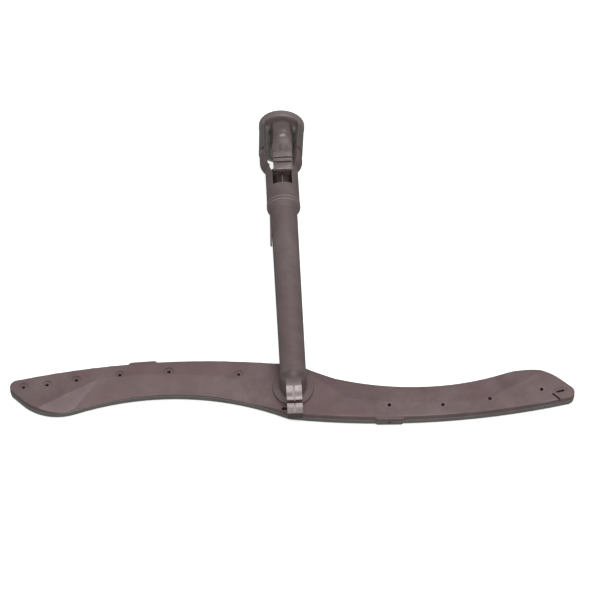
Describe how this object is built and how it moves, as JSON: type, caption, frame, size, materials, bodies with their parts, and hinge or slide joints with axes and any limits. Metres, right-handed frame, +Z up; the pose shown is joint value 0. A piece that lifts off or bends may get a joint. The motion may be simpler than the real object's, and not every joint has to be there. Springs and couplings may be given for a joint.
{
  "type": "dishwasher spray arm",
  "caption": "Upper dishwasher spray arm: S-shaped hollow rotor with spray nozzles spinning under a feed tube with a docking head and a front wire clip.",
  "frame": {"origin": "middle of the docking bore, where its funnel ends", "axes": "+Y out of the docking mouth along its bore, +Z up along the arm's spin axis, +X across, along the arm at rest"},
  "size_m": [0.4625, 0.2977, 0.0582],
  "materials": {
    "housing": "satin moulded polypropylene, warm grey",
    "seal": "matt black rubber",
    "bearing": "smooth off-white low-friction plastic"
  },
  "bodies": {
    "feed": {"feed_tube": "housing", "docking_head": "housing", "socket_o_ring": "seal", "hub_nut": "housing", "lower_thrust_washer": "bearing"},
    "spray_arm": {"arm_upper_shell": "housing", "arm_lower_shell": "housing", "upper_thrust_washer": "bearing"}
  },
  "joints": [
    {"name": "arm_spin", "type": "hinge", "parent": "feed", "child": "spray_arm", "pos_m": [0.01646, -0.2509, -0.022], "axis": [0, 0, 1], "continuous": true}
  ]
}
